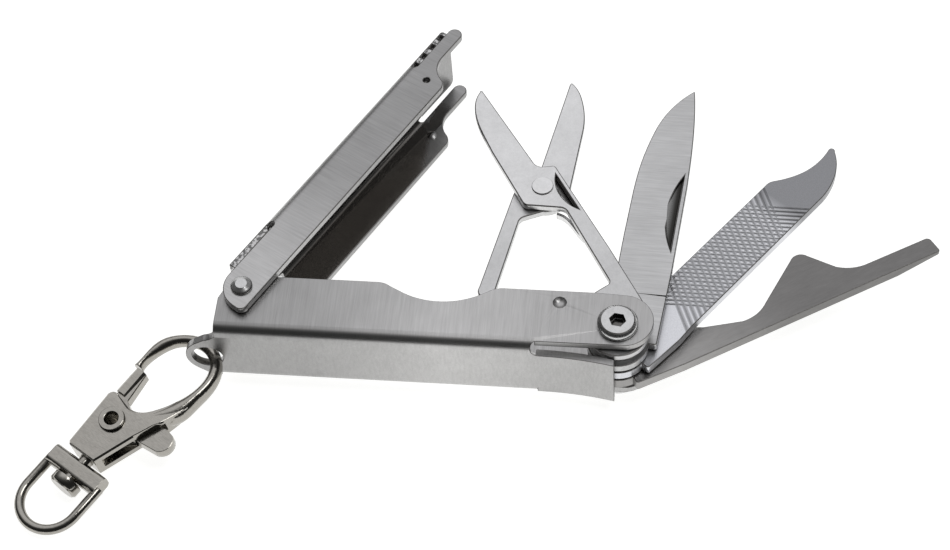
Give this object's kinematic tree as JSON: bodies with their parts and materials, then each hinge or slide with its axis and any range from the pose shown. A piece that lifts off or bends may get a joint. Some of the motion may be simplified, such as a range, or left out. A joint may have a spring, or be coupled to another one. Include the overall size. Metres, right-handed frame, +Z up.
{
  "type": "multi tool",
  "caption": "Pocket multi tool: a bent-sheet frame with folding scissors, knife, file and bottle opener on one pivot, a hinged cover and a swivel lobster clasp.",
  "frame": {"origin": "centre of the bounding box in plan, on the plane the tool rests on", "axes": "+X along the frame from the clasp end to the main pivot, +Y from the frame's back to its open side, +Z up along the main pivot"},
  "size_m": [0.1334, 0.0884, 0.0161],
  "materials": {
    "frame_steel": "brushed across the length",
    "cover_steel": "brushed across the length, polished inside",
    "screw_steel": "satin turned",
    "scissors_steel": "light satin",
    "knife_steel": "ground across the blade",
    "file_steel": "cross-cut teeth, smooth tip",
    "opener_steel": "satin",
    "washer_steel": "plain",
    "clasp_nickel": "polished nickel plate"
  },
  "bodies": {
    "frame": {"frame_channel": "frame_steel", "pivot_barrel": "screw_steel", "pivot_screw": "screw_steel", "washer_below_opener": "washer_steel", "washer_opener_file": "washer_steel", "washer_file_knife": "washer_steel", "cover_rivet": "screw_steel", "cover_sleeve": "washer_steel"},
    "cover": {"cover_channel": "cover_steel"},
    "opener": {"bottle_opener": "opener_steel"},
    "file": {"file_blade": "file_steel"},
    "knife": {"knife_blade": "knife_steel"},
    "scissors_turn": {"scissors_spacer": "washer_steel", "scissors_washer": "washer_steel"},
    "scissors_a": {"scissors_arm_a": "scissors_steel", "scissors_spring": "scissors_steel"},
    "scissors_pin": {"scissors_rivet": "scissors_steel"},
    "scissors_b": {"scissors_arm_b": "scissors_steel"},
    "clasp": {"clasp_body": "clasp_nickel", "clasp_eyelet": "clasp_nickel", "swivel_stud": "clasp_nickel", "clasp_gate_spring": "clasp_nickel"},
    "gate": {"clasp_gate": "clasp_nickel"},
    "bail": {"swivel_bail": "clasp_nickel"}
  },
  "joints": [
    {"name": "cover_turn", "type": "hinge", "parent": "frame", "child": "cover", "pos_m": [-0.03595, -0.00842, 0], "axis": [0, 0, 1], "range_deg": [-10.5, 74]},
    {"name": "opener_turn", "type": "hinge", "parent": "frame", "child": "opener", "pos_m": [0.0197, -0.01092, 0], "axis": [0, 0, 1], "range_deg": [-31.8, 148.2]},
    {"name": "file_turn", "type": "hinge", "parent": "frame", "child": "file", "pos_m": [0.0197, -0.01092, 0], "axis": [0, 0, 1], "range_deg": [-53.3, 126.7]},
    {"name": "knife_turn", "type": "hinge", "parent": "frame", "child": "knife", "pos_m": [0.0197, -0.01092, 0], "axis": [0, 0, 1], "range_deg": [-84.8, 95.2]},
    {"name": "scissors_open", "type": "hinge", "parent": "frame", "child": "scissors_turn", "pos_m": [0.0197, -0.01092, 0], "axis": [0, 0, 1], "range_deg": [-121.9, 0]},
    {"name": "scissors_stow", "type": "hinge", "parent": "scissors_turn", "child": "scissors_a", "pos_m": [0.0197, -0.01092, 0], "axis": [0, 0, 1], "range_deg": [0, 58.1]},
    {"name": "scissors_close", "type": "hinge", "parent": "scissors_a", "child": "scissors_pin", "pos_m": [0.00655, 0.01494, 0.0113], "axis": [0, 0, 1], "range_deg": [0, 46]},
    {"name": "scissors_cut", "type": "hinge", "parent": "scissors_pin", "child": "scissors_b", "pos_m": [0.00655, 0.01494, 0.0113], "axis": [0, 0, -1], "range_deg": [-40, 0], "stiffness_Nm_per_rad": 0.002, "springref_deg": 5.73},
    {"name": "clasp_swing", "type": "hinge", "parent": "frame", "child": "clasp", "pos_m": [-0.04509, -0.01762, 0.00582], "axis": [-0.0798, -0.1182, 0.9898], "range_deg": [-10, 10]},
    {"name": "gate_open", "type": "hinge", "parent": "clasp", "child": "gate", "pos_m": [-0.0534, -0.02682, 0.00405], "axis": [-0.0798, -0.1182, 0.9898], "range_deg": [-25, 0], "stiffness_Nm_per_rad": 0.004, "springref_deg": 11.46},
    {"name": "bail_swivel", "type": "hinge", "parent": "clasp", "child": "bail", "pos_m": [-0.05833, -0.03448, 0.00274], "axis": [-0.5535, -0.8206, -0.1426], "continuous": true}
  ],
  "couplings": [
    {"joint": "scissors_close", "follows": "scissors_stow", "ratio": 0.7917}
  ]
}
